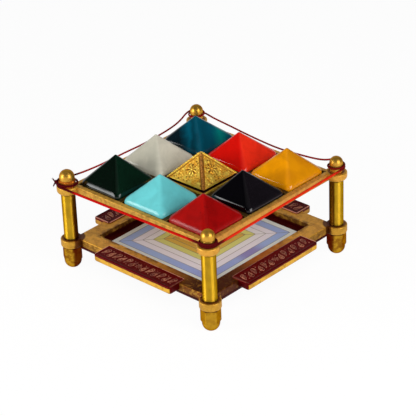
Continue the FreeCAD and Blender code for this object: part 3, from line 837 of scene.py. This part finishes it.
def nut_part(flats, hex_height, collar, dome, flat, chamfer, depth, turn):
    """An acorn nut on its seat: a profile that runs down its blind hole, up its flats and over its
    dome, turned about Z and cut to a hexagon as far as its flats go."""
    corner, hole = flats / math.sqrt(3), 2.05
    radius, flat_radius = dome / 2, flat / 2
    centre = hex_height + collar
    top = math.sqrt(radius ** 2 - flat_radius ** 2)
    swing = np.linspace(0, math.atan2(top, max(flat_radius, 0.02)), 14)
    crown = stacked(radius * np.cos(swing), centre + radius * np.sin(swing))
    skirt = rounded([(0.3, depth), (hole, depth), (hole, 0), (corner - chamfer, 0), (corner, chamfer),
                     (corner, hex_height - chamfer), (corner - chamfer, hex_height)],
                    [0.05, 0.1, 0.15, 0.2, 0.3], 5)
    shelf = hex_height + 0.01
    neck = rounded([(radius - 0.25, shelf), (radius, shelf), (radius, centre)], [0.12], 5)
    rows = [skirt, neck[:-1], crown]
    if flat_radius:
        rows.append([(flat_radius * 0.3, centre + top)])
    profile = refined(np.vstack(rows), 1.2)
    return loft(turned_rings(profile, 72, flats, hex_height, turn), along=profile[:, 1] * MM)


def build_nuts(metal):
    """Small acorn nuts on the plate, with tarnish near their posts, and long ones whose domes are the feet,
    darker on their inward sides by painted shade and some dirt.
    """
    top = polished_brass("top_nut_brass", metal, 0.36, 0.4, metallic=0.85)
    foot = polished_brass("foot_nut_brass", metal, 0.42, 0.4)
    top.over(0.75, tone(207, 154, 66))
    foot.over(0.6, tone(172, 122, 34))
    for brass in (top, foot):
        patches = brass.post_distance().rise(3.3, 4.4) * brass.noise(390).rise(0.44, 0.6, 0.7)
        brass.over(patches * brass.front_reach().step(10, 40, 0.35, 1.0), tone(108, 48, 12))
    # Painted shade, with some dirt: the feet are darker on their inward sides
    foot.over(foot.inward_reach(3).rise(1.0, 3.2, 0.9), tone(84, 20, 6))
    foot.over(foot.axes[2].rise(BASE_LOW - 0.9, BASE_LOW - 0.3, 0.9), tone(52, 14, 8))
    x, y, z = top.axes
    left_hexagon = (x + y).fall(-70, -60) * z.fall(TOP_HIGH + 2.9, TOP_HIGH + 3.4, 0.75)
    top.over(left_hexagon, tone(222, 112, 30))
    turns = {"left": (8, -27.5), "front": (-16.5, 16.5), "right": (4, 16.5), "back": (20, -5)}
    for post, (top_turn, foot_turn) in turns.items():
        flats, collar, dome = LEFT_NUT if post == "left" else SMALL_NUT
        part = nut_part(flats, HEXAGON, collar, dome, flat=0, chamfer=0.35, depth=5.2, turn=top_turn)
        make_piece("acorn_nut_" + post, [shifted(part, post_axis(post, TOP_HIGH))], top, ["top_nut_" + post],
                   sharp=60)
        points, faces, uv = nut_part(8.2, 7.1, 0.6, 8.1, flat=4.0, chamfer=0.5, depth=7.4, turn=foot_turn)
        part = (points * (1, -1, -1) + post_axis(post, BASE_LOW), faces, uv)
        make_piece("foot_" + post, [part], foot, ["foot_nut_" + post], sharp=60)


# Centre pyramid


def relief_pattern(across, up, width, length):
    """The embossing's height at distances across and up one face, in millimetres.

    A rosette stands in the middle: a sunk ring with eight petals whose height follows the cosine of
    eight times the angle, and a bump in its middle. Small crumbs fill the rest: stretched bumps that
    rise or sink, one to a cell, each at its own place and angle.
    """
    rng = np.random.default_rng(5)
    pitch, rosette_up, rosette_reach, crumb_width = 1.05, 0.46 * length, 1.9, 0.26
    reach, angle = np.hypot(across, up - rosette_up), np.arctan2(up - rosette_up, across)
    petals = np.exp(-((reach - 1.6) / 0.8) ** 2) * (0.5 + 0.5 * np.cos(8 * angle + 0.5)) ** 0.8
    sunk = np.exp(-((reach - 1.5) / 1.15) ** 2)
    height = 0.3 - 0.8 * sunk + 1.7 * petals + 1.1 * np.exp(-(reach / 0.42) ** 2)
    for row, level in enumerate(np.arange(1.5, length - 1.4, pitch * 0.87)):
        room = width / 2 * (1 - level / length) - 1.3
        if room <= 0:
            continue
        for place in np.arange(-room, room + 0.01, pitch) + (row % 2) * pitch / 2:
            x0, y0 = place + rng.normal(0, 0.26), level + rng.normal(0, 0.22)
            turn, long = rng.uniform(0, FULL), rng.uniform(0.26, 0.55)
            if math.hypot(x0, y0 - rosette_up) < rosette_reach + 0.3 or abs(x0) > room:
                continue
            dx, dy = across - x0, up - y0
            a, b = dx * math.cos(turn) + dy * math.sin(turn), dy * math.cos(turn) - dx * math.sin(turn)
            height = height + rng.uniform(-0.7, 1.3) * np.exp(-(a / long) ** 2 - (b / crumb_width) ** 2)
    return np.tanh(height)


def embossed_finish():
    """Bright brass, brown in the hollows and the channel, dark in the groove, coppery on the front strip."""
    brass = Finish("embossed_brass", Metallic=0.72)
    relief = brass.add("Attribute", {}, "Fac", attribute_name="relief")
    cloud, strip = brass.noise(420, 4, 0.65), relief.rise(1.2, 1.8)
    brass.base(cloud.rise(0.36, 0.66), tone(255, 222, 92), tone(244, 174, 48))
    brass.over((relief + cloud * 0.3).fall(0.2, 0.48, 0.9), tone(188, 124, 34))
    brass.over(strip, tone(208, 138, 62))
    brass.over(strip * brass.noise(1300).rise(0.48, 0.6, 0.75), tone(118, 60, 20))
    brass.over(relief.fall(-0.35, 0.08, 0.9), tone(112, 56, 12))
    brass.over(relief.fall(-0.9, -0.7), tone(40, 6, 6))
    brass.shade("Roughness", relief.step(0.1, 0.7, 0.6, 0.4))
    brass.uneven(brass.noise(1900), 0.05, 0.5)
    return brass


def build_centre(metal):
    """The brass pyramid: a plinth, a groove, and four embossed faces with a raised strip down each arris
    and a dotted channel beside it.

    A face's point is the flat face's point plus its height along the face's normal, which leans
    towards the diagonal near an arris so that two faces meet there.
    """
    lo, hi = extent("pyramid_brass_centre")
    half, top = float(hi[0] - lo[0]) / 2, float(hi[2] - lo[2])
    plinth, groove_low, groove_high, foot_half, tip = 1.6, 1.2, 2.5, 11.3, 0.5
    profile = refined(rounded([(half * 0.7, 0), (half, 0), (half, plinth), (foot_half - 0.6, plinth)],
                              [0.15, 0.3], 5), 0.9)
    base = loft(square_rings(profile[:, :1], 0.7, profile[:, 1]))
    on_ledge = np.abs(base[0][:, :2]).max(1) < half - 0.5
    neck = loft(square_rings([[foot_half - 0.8]] * 2, 0.3, [groove_low, groove_high + 0.3], 3, 4))

    rows, columns = 130, 160
    length = math.hypot(foot_half - tip, top - groove_high)
    incline = math.atan2(top - groove_high, foot_half - tip)
    v = np.linspace(0, 1, rows)[:, None]
    s = np.linspace(-1, 1, columns + 1)[None, :-1]
    reach = foot_half + (tip - foot_half) * v
    across, up = reach * s, v * length
    to_arris = (reach - np.abs(across)) * math.cos(math.atan2(foot_half, length))
    strip, trench = 0.58, 0.3
    ridge = 1 / (1 + np.exp((to_arris - strip) / 0.06))
    channel = np.exp(-((to_arris - strip - trench) / 0.24) ** 2) * (0.8 + 0.2 * np.cos(up * 7.5))
    inside = 1 / (1 + np.exp(-(to_arris - strip - 2 * trench) / 0.12))
    foot_line = np.exp(-((up - 0.6) / 0.25) ** 2) * inside
    pattern = relief_pattern(across, up, 2 * foot_half, length) * inside
    tooling = 0.08 * np.sin(up * 5.5) * ridge
    level = np.clip(pattern + 0.7 * ridge + 0.6 * foot_line - 0.4 * channel + tooling, -0.4, 1.2)

    normal = np.array([0, -math.sin(incline), math.cos(incline)])
    diagonal = unit(np.array([-math.sin(incline), -math.sin(incline), math.cos(incline)]))
    mitre = diagonal / (diagonal @ normal)
    mitre = np.where(s[..., None] > 0, mitre * (-1, 1, 1), mitre)
    lean = np.clip(1 - to_arris / (strip * 0.9), 0, 1)[..., None]
    surface = stacked(across, -reach, groove_high + (top - 0.05 - groove_high) * v)
    surface = surface + (normal + (mitre - normal) * lean ** 2) * level[..., None] * metal.relief / MM
    limit = 12.2
    surface[..., :2] = np.clip(surface[..., :2], -limit, limit)
    surface[..., 2] = np.clip(surface[..., 2], groove_high, top)
    faces = np.concatenate([spun(surface, -90 * quarter) for quarter in (0, 3, 2, 1)], 1)

    # Relief levels for the shading: -1 on the ledge and in the groove, near 0 in a channel, above 1.2
    # on the front arris's strip
    level, ridge, channel = (np.tile(values, (1, 4)) for values in (level, ridge, channel))
    front_arris = np.abs(faces[..., 0] + faces[..., 1]) < 0.4 * (faces[..., 0] - faces[..., 1])
    level = level + ridge * np.where(front_arris, 2.0, 0.3) + channel * np.where(front_arris, 0.0, 0.32)
    levels = [np.where(on_ledge, -1.0, 0.5), np.full(len(neck[0]), -1.0), level.ravel(), [0.5, 0.5]]
    parts = [shifted(part, (0, 0, lo[2])) for part in (base, neck, loft(faces))]
    make_piece("embossed_pyramid", parts, embossed_finish(), ["pyramid_brass_centre"],
               np.concatenate(levels))


# Card, board and tabs


def card_finish():
    """Nested coloured squares with thin lines between them and along the diagonals, and violet patches
    in the blue one."""
    card = Finish("printed_card", Roughness=0.5, Specular_IOR_Level=0.2)
    x, y, _ = card.axes
    distance = card.square_distance()
    inks = {0: (206, 130, 34), 4.2: (220, 158, 40), 7.6: (224, 176, 50), 10.6: (230, 192, 66),
            13.5: (228, 230, 130), 16.9: (242, 244, 255), 20.4: (240, 240, 255), 24.1: (162, 190, 244),
            28.3: (228, 240, 242)}
    _, *edges = inks
    stops = [(edge / CARD_HALF, tone(*ink)) for edge, ink in inks.items()]
    card.shade("Base Color", card.ramp(distance * (1 / CARD_HALF), stops, "CONSTANT"))
    inner, outer = edges[-2:]
    blue = distance.rise(inner - 0.05, inner + 0.05) * distance.fall(outer - 0.05, outer + 0.05)
    clouds = card.noise(48, 2).rise(0.42, 0.62) * (x - y).step(22, 56, 0.15, 0.45)
    card.over(blue * clouds, tone(134, 134, 226))
    card.over(blue * abs(y - 2.5).fall(2, 11, 0.85) * x.rise(20, 23), tone(142, 130, 200))
    ink = abs(abs(x) - abs(y)).fall(0.12, 0.34) * distance.fall(outer - 0.1, outer + 0.1)
    for edge in edges:
        ink = ink.most(abs(distance - edge).fall(0.10, 0.24))
    card.over(ink * 0.65, tone(84, 76, 96))
    card.over(card.noise(2600, 2).rise(0.4, 0.7, 0.12), tone(240, 238, 232))
    card.uneven(card.noise(800), 0.02, 0.3)
    return card


def clouded(name, cloud_scale, light, dark, grain_scale, **inputs):
    """Paint or enamel in clouds of two tones, with a fine grain."""
    finish = Finish(name, **inputs)
    finish.base(finish.noise(cloud_scale, 4).rise(0.35, 0.7), light, dark)
    finish.uneven(finish.noise(grain_scale), 0.06, 0.5)
    return finish


def painted_board(metal):
    """The backing board: dark maroon paint over a fibrous board."""
    light, dark = shade_of(metal.enamel, 0.55), shade_of(metal.enamel, 0.3)
    return clouded("maroon_board", 240, light, dark, 1500, Roughness=0.6, Specular_IOR_Level=0.15)


def enamel_finish(metal):
    """Fired enamel: deep maroon with small bubbles and a soft gloss."""
    enamel = clouded("maroon_enamel", 260, metal.enamel, shade_of(metal.enamel, 0.7), 900,
                     Roughness=0.34, Specular_IOR_Level=0.03)
    enamel.over(enamel.noise(1500, 2).rise(0.6, 0.72, 0.45), tone(168, 92, 80))
    return enamel


def gilt_finish():
    """Worn gilding on the ornament."""
    gilt = Finish("gilt_ornament", Metallic=0.5, Roughness=0.45)
    gilt.base(gilt.noise(420).rise(0.4, 0.6, 0.8), tone(190, 124, 96), tone(104, 34, 34))
    gilt.uneven(gilt.noise(2200, 2), 0.05, 0.4)
    return gilt


def leaf(x, y, long, wide, rise=0.26, degrees=0):
    """A raised leaf: a pointed oval outline drawn in towards its middle while its height rises as a dome."""
    t = around(20)
    outline = stacked(long * np.cos(t), wide * np.sin(t) * np.abs(np.sin(t)) ** 0.6)
    share = np.cos([0, *np.linspace(0, 1.45, 6)])
    height = rise * np.sqrt(1 - share ** 2)
    height[0] = -0.1
    return shifted(loft(spun(lifted(share[:, None, None] * outline, height), degrees)), (x, y, 0))


def stroke(x, y, width):
    """A raised line: a half-round section along a flat path, drawn to points at its ends."""
    t, rise = around(10), 0.22
    taper = np.clip(np.sin(np.linspace(0, math.pi, len(x))) * 4, 0.25, 1)[:, None]
    section = stacked(width * np.cos(t) * taper, rise * np.sin(t))
    return loft(swept_rings(stacked(x, y, 0.0), section))


def paisley(middle_x, middle_y, flip):
    """A raised paisley: a drop's outline whose tip bends aside, a smaller one inside it, and a bead.

    The drop is x = wide / 2 * sin(t) * sin(t / 2)^1.5, y = tall / 2 * cos(t), and x gains a share
    that grows with the square of the way up.
    """
    tall, wide = 4.6, 2.9
    t = np.linspace(0.12, FULL - 0.12, 46)
    parts = []
    for share, width in ((1.0, 0.19), (0.5, 0.15)):
        x = share * wide / 2 * np.sin(t) * np.sin(t / 2) ** 1.5
        y = share * tall / 2 * np.cos(t)
        bend = 0.55 * wide * share * ((y / tall / share + 0.5) ** 2 - 0.2)
        lowered = y - 0.1 * tall * (1 - share)
        parts.append(stroke(middle_x + flip * (x + bend), middle_y + flip * lowered, width))
    return parts + [leaf(middle_x - flip * 0.12 * wide, middle_y - flip * 0.2 * tall, 0.26, 0.26)]


def tab_ornament():
    """A running row of paisleys for one tab, each turned the other way round from the last, with a
    bead above or below each and a small flower in the middle."""
    count, pitch, petal_reach = 13, 3.45, 1.25
    parts = []
    for k in range(count):
        at, flip = (k - count // 2) * pitch, 1 if k % 2 else -1
        if at:
            parts += paisley(at, -0.25 * flip, flip)
            parts.append(leaf(at - flip * 0.75, flip * 2.15, 0.3, 0.3))
        else:
            parts += [leaf(*(petal_reach * part for part in (math.cos(angle), math.sin(angle))), 0.62, 0.3,
                           degrees=math.degrees(angle)) for angle in around(8)]
            parts.append(leaf(0, 0, 0.42, 0.42, 0.3))
    return parts


def build_tabs(metal):
    """Each tab's enamel, which rises in a meniscus to its lip, and the raised gilt ornament on it."""
    enamel, gilt = enamel_finish(metal), gilt_finish()
    lo, hi = extent("enamel_panel_front_left")
    (half_x, half_y, depth), middle_y, level = (hi - lo) / (2, 2, 1), (hi[1] + lo[1]) / 2, hi[2]
    inset = np.array([0.3, 0.0, 0.0, 0.06, 0.16, 0.32, 0.6, 1.2, 2.4, 3.6])
    rise = np.array([-depth, -depth, 0.06, 0.05, 0.02, -0.02, -0.05, -0.07, -0.08, -0.08])
    halves = np.array([half_x, half_y]) - inset[:, None]
    rings = square_rings(halves, np.maximum(0.5 - inset, 0.01), rise, 5, 10)
    parts = [shifted(loft(rings), (0, middle_y, level))]
    parts += [shifted(part, (0, middle_y, level - 0.1)) for part in tab_ornament()]
    for side, degrees in SIDES.items():
        panel, *ornament = [(spun(points, degrees), faces, uv) for points, faces, uv in parts]
        make_piece("enamel_" + side, [panel], enamel, ["enamel_panel_" + side])
        make_piece("ornament_" + side, ornament, gilt)


# Stage


def facing(azimuth, elevation):
    """The right, up and backward directions of what faces the stand from an angle round it and above
    the floor, in degrees."""
    a, e = math.radians(azimuth), math.radians(elevation)
    back = np.array([math.sin(a) * math.cos(e), -math.cos(a) * math.cos(e), math.sin(e)])
    right = np.array([math.cos(a), math.sin(a), 0])
    return right, np.cross(back, right), back


def set_up(name, data, right, up, back, place):
    """A camera or a lamp at a place, with its axes along the given directions."""
    thing = bpy.data.objects.new(name, data)
    matrix = np.eye(4)
    matrix[:3] = np.stack([right, up, back, place], 1)
    thing.matrix_world = Matrix(matrix.tolist())
    bpy.context.scene.collection.objects.link(thing)
    return thing


def build_camera(settings):
    """A camera that looks from the given angle, rolled a little about its own axis."""
    right, up, back = facing(settings.azimuth, settings.elevation)
    roll = math.radians(settings.roll)
    right, up = math.cos(roll) * right + math.sin(roll) * up, math.cos(roll) * up - math.sin(roll) * right
    aim_height, aside, above = 24.5, 2.115, 2.051
    target = (np.array([0, 0, aim_height]) + aside * right + above * up) * MM
    data = bpy.data.cameras.new("camera")
    data.sensor_width = 36
    data.lens = settings.lens
    data.clip_start, data.clip_end = 0.01, 100
    bpy.context.scene.camera = set_up("camera", data, right, up, back, target + back * settings.distance)


def softbox(name, azimuth, elevation, size, power, in_gloss=True):
    """A square lamp that faces the stand from an angle round it and above the floor, in degrees."""
    distance, aim_height = 0.8, 0.025
    right, up, back = facing(azimuth, elevation)
    data = bpy.data.lights.new(name, "AREA")
    data.shape = "SQUARE"
    data.size, data.energy = size, power
    lamp = set_up(name, data, right, up, back, back * distance + (0, 0, aim_height))
    lamp.visible_glossy = in_gloss


def build_world(scene):
    """A studio that is bright near the floor and dark above, with a lighter and a darker side."""
    scene.world = bpy.data.worlds.new("studio")
    scene.world.use_nodes = True
    studio = Nodes(scene.world.node_tree)
    where = studio.add("TexCoord", {}, "Generated")

    def towards(*direction):
        return studio.add("VectorMath", {0: where, 1: direction}, "Value", operation="DOT_PRODUCT")

    levels = [(0.17, (1, 1, 1)), (0.42, (0.035, 0.035, 0.038)), (0.84, (0.035,) * 3), (0.94, (0.12,) * 3)]
    sky = studio.ramp(studio.split(where)[2], levels)
    sky = studio.mix(1.0, sky, towards(-0.69, 0.73, 0).rise(0.35, 0.8, 0.5), "LIGHTEN")
    sky = studio.mix(towards(0.77, 0.64, 0).rise(0.35, 0.75, 0.85), sky, (0.03, 0.03, 0.03))
    background = studio.tree.nodes["Background"]
    studio.plug(background, "Color", sky)
    studio.plug(background, "Strength", 1)


def build_floor(scene):
    """A pale round floor, which glows for the camera and in reflections so that it looks evenly lit."""
    rim = polar(3.0, around(96))
    mesh = bpy.data.meshes.new("floor")
    mesh.from_pydata(rim.tolist(), [], [list(range(len(rim)))])
    floor = bpy.data.objects.new("floor", mesh)
    scene.collection.objects.link(floor)
    pale = Finish("pale_floor", Roughness=0.9)
    pale.base(pale.noise(30, 2), tone(244, 244, 243), tone(238, 238, 238))
    glow = pale.add("Emission", {"Color": (1.0, 1.0, 1.0), "Strength": 1.02})
    camera, glossy, through = (pale.add("LightPath", {}, f"Is {kind} Ray")
                               for kind in ("Camera", "Glossy", "Transmission"))
    seen = camera.most(glossy).most(through) * 0.92
    blend = pale.add("MixShader", {0: seen, 1: pale.shader.outputs[0], 2: glow})
    pale.plug(pale.tree.nodes["Material Output"], 0, blend)
    mesh.materials.append(pale.material)


# Operators


class BuildStep(bpy.types.Operator):
    bl_options = {"REGISTER", "UNDO"}


class VASTU_OT_camera(BuildStep):
    """Adds the camera"""
    bl_idname = "vastu.camera"
    bl_label = "Camera"

    def execute(self, context):
        build_camera(context.scene.vastu_stage)
        return {"FINISHED"}


class VASTU_OT_thread(BuildStep):
    """Ties the red thread round the four top nuts"""
    bl_idname = "vastu.thread"
    bl_label = "Thread"

    def execute(self, context):
        build_thread(context.scene.vastu_thread)
        return {"FINISHED"}


class VASTU_OT_stones(BuildStep):
    """Grinds the eight stone pyramids"""
    bl_idname = "vastu.stones"
    bl_label = "Stones"

    def execute(self, context):
        for name in STONES:
            build_stone(name, context.scene.vastu_stones)
        return {"FINISHED"}


class VASTU_OT_centre(BuildStep):
    """Embosses the brass pyramid in the middle"""
    bl_idname = "vastu.centre"
    bl_label = "Centre pyramid"

    def execute(self, context):
        build_centre(context.scene.vastu_metal)
        return {"FINISHED"}


class VASTU_OT_posts(BuildStep):
    """Turns the four tubes and finishes their studs"""
    bl_idname = "vastu.posts"
    bl_label = "Tubes"

    def execute(self, context):
        build_posts(context.scene.vastu_metal)
        steel = steel_finish()
        for post in POSTS:
            dress("post_stud_" + post, steel)
        return {"FINISHED"}


class VASTU_OT_nuts(BuildStep):
    """Makes the acorn nuts on top and the feet"""
    bl_idname = "vastu.nuts"
    bl_label = "Nuts and feet"

    def execute(self, context):
        build_nuts(context.scene.vastu_metal)
        return {"FINISHED"}


class VASTU_OT_castings(BuildStep):
    """Finishes the two castings and the backing board"""
    bl_idname = "vastu.castings"
    bl_label = "Castings and board"

    def execute(self, context):
        dress("base_frame", frame_finish(context.scene.vastu_metal))
        dress("top_plate", plate_finish(context.scene.vastu_metal))
        dress("backing_board", painted_board(context.scene.vastu_metal))
        return {"FINISHED"}


class VASTU_OT_card(BuildStep):
    """Prints the card"""
    bl_idname = "vastu.card"
    bl_label = "Printed card"

    def execute(self, context):
        dress("print_card", card_finish())
        return {"FINISHED"}


class VASTU_OT_tabs(BuildStep):
    """Fills the four tabs with enamel and lays the ornament on them"""
    bl_idname = "vastu.tabs"
    bl_label = "Enamel tabs"

    def execute(self, context):
        build_tabs(context.scene.vastu_metal)
        return {"FINISHED"}


class VASTU_OT_stage(BuildStep):
    """Adds the floor, the world and the lamps"""
    bl_idname = "vastu.stage"
    bl_label = "Stage"

    def execute(self, context):
        context.scene.view_settings.view_transform = "Standard"
        build_world(context.scene)
        build_floor(context.scene)
        softbox("left_lamp", -28, 15, 0.42, 3.2)
        softbox("right_lamp", 88, 26, 0.5, 3.5)
        softbox("front_lamp", 40, 42, 0.4, 2.7, in_gloss=False)
        return {"FINISHED"}


STEPS = (VASTU_OT_camera, VASTU_OT_thread, VASTU_OT_stones, VASTU_OT_centre, VASTU_OT_posts, VASTU_OT_nuts,
         VASTU_OT_castings, VASTU_OT_card, VASTU_OT_tabs, VASTU_OT_stage)
GROUPS = {"vastu_thread": VASTU_PG_thread, "vastu_stones": VASTU_PG_stones, "vastu_metal": VASTU_PG_metal,
          "vastu_stage": VASTU_PG_stage}


class VASTU_PT_panel(bpy.types.Panel):
    """Lists the steps and their settings"""
    bl_idname = "VASTU_PT_panel"
    bl_label = "Vastu pyramid"
    bl_space_type = "VIEW_3D"
    bl_region_type = "UI"
    bl_category = "Vastu"

    def draw(self, context):
        for step in STEPS:
            self.layout.operator(step.bl_idname)
        for group in GROUPS:
            settings = getattr(context.scene, group)
            box = self.layout.box()
            for key in settings.__annotations__:
                box.prop(settings, key)


def register():
    for group, kind in GROUPS.items():
        bpy.utils.register_class(kind)
        setattr(bpy.types.Scene, group, PointerProperty(type=kind))
    for step in STEPS:
        bpy.utils.register_class(step)
    bpy.utils.register_class(VASTU_PT_panel)


def unregister():
    bpy.utils.unregister_class(VASTU_PT_panel)
    for step in STEPS:
        bpy.utils.unregister_class(step)
    for group, kind in GROUPS.items():
        delattr(bpy.types.Scene, group)
        bpy.utils.unregister_class(kind)


def main():
    register()
    for step in STEPS:
        module, name = step.bl_idname.split(".")
        getattr(getattr(bpy.ops, module), name)()


if __name__ == "__main__":
    main()
